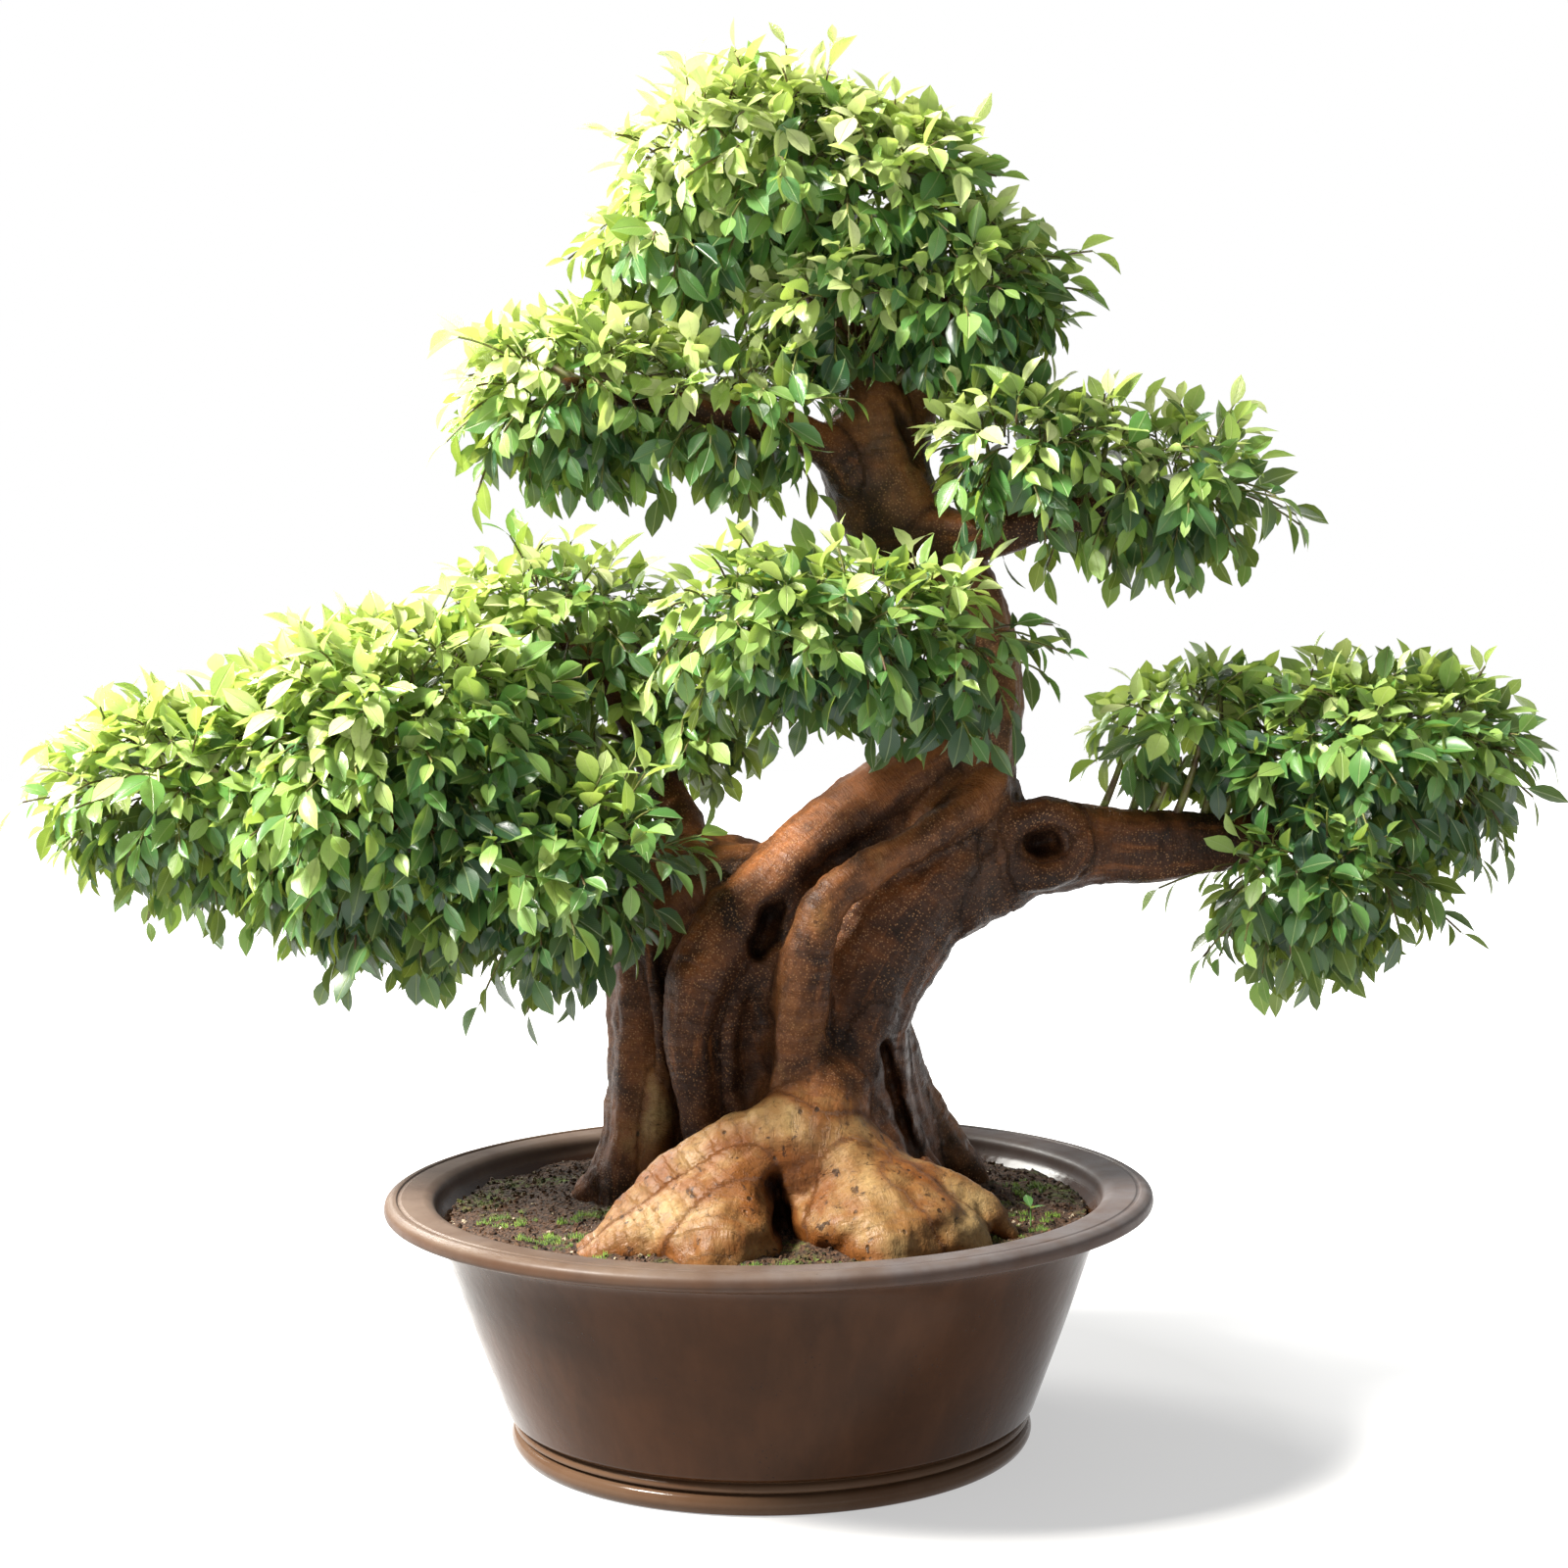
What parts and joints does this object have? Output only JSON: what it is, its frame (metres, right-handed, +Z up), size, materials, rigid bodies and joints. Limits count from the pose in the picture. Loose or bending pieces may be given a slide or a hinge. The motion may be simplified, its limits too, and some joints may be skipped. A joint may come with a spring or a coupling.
{
  "type": "bonsai tree",
  "caption": "Chinese banyan bonsai with a fused, fluted trunk, spreading surface roots and clipped leafy pads, growing in a round glazed ceramic pot with a broad flat rim",
  "frame": {"origin": "centre of the pot's flat base, on the surface that the pot stands on", "axes": "+Z is up, +X runs to the tree's right as seen from its front, along the widest spread of the foliage, and -Y is the front"},
  "size_m": [1.242, 0.63, 1.1454],
  "materials": {
    "glaze": "gloss",
    "screen_mesh": "matte",
    "grit": "matte",
    "potting_soil": "matte",
    "bark": "satin",
    "leaf": "satin"
  },
  "bodies": {
    "root": {"pot": "glaze", "drain_screen_1": "screen_mesh", "drain_screen_2": "screen_mesh", "drain_screen_3": "screen_mesh", "drainage_grit": "grit", "soil": "potting_soil", "trunk": "bark", "foliage_crown": "leaf", "foliage_upper_left": "leaf", "foliage_upper_right": "leaf", "foliage_centre": "leaf", "foliage_left_front": "leaf", "foliage_left_back": "leaf", "foliage_right": "leaf"}
  },
  "joints": []
}
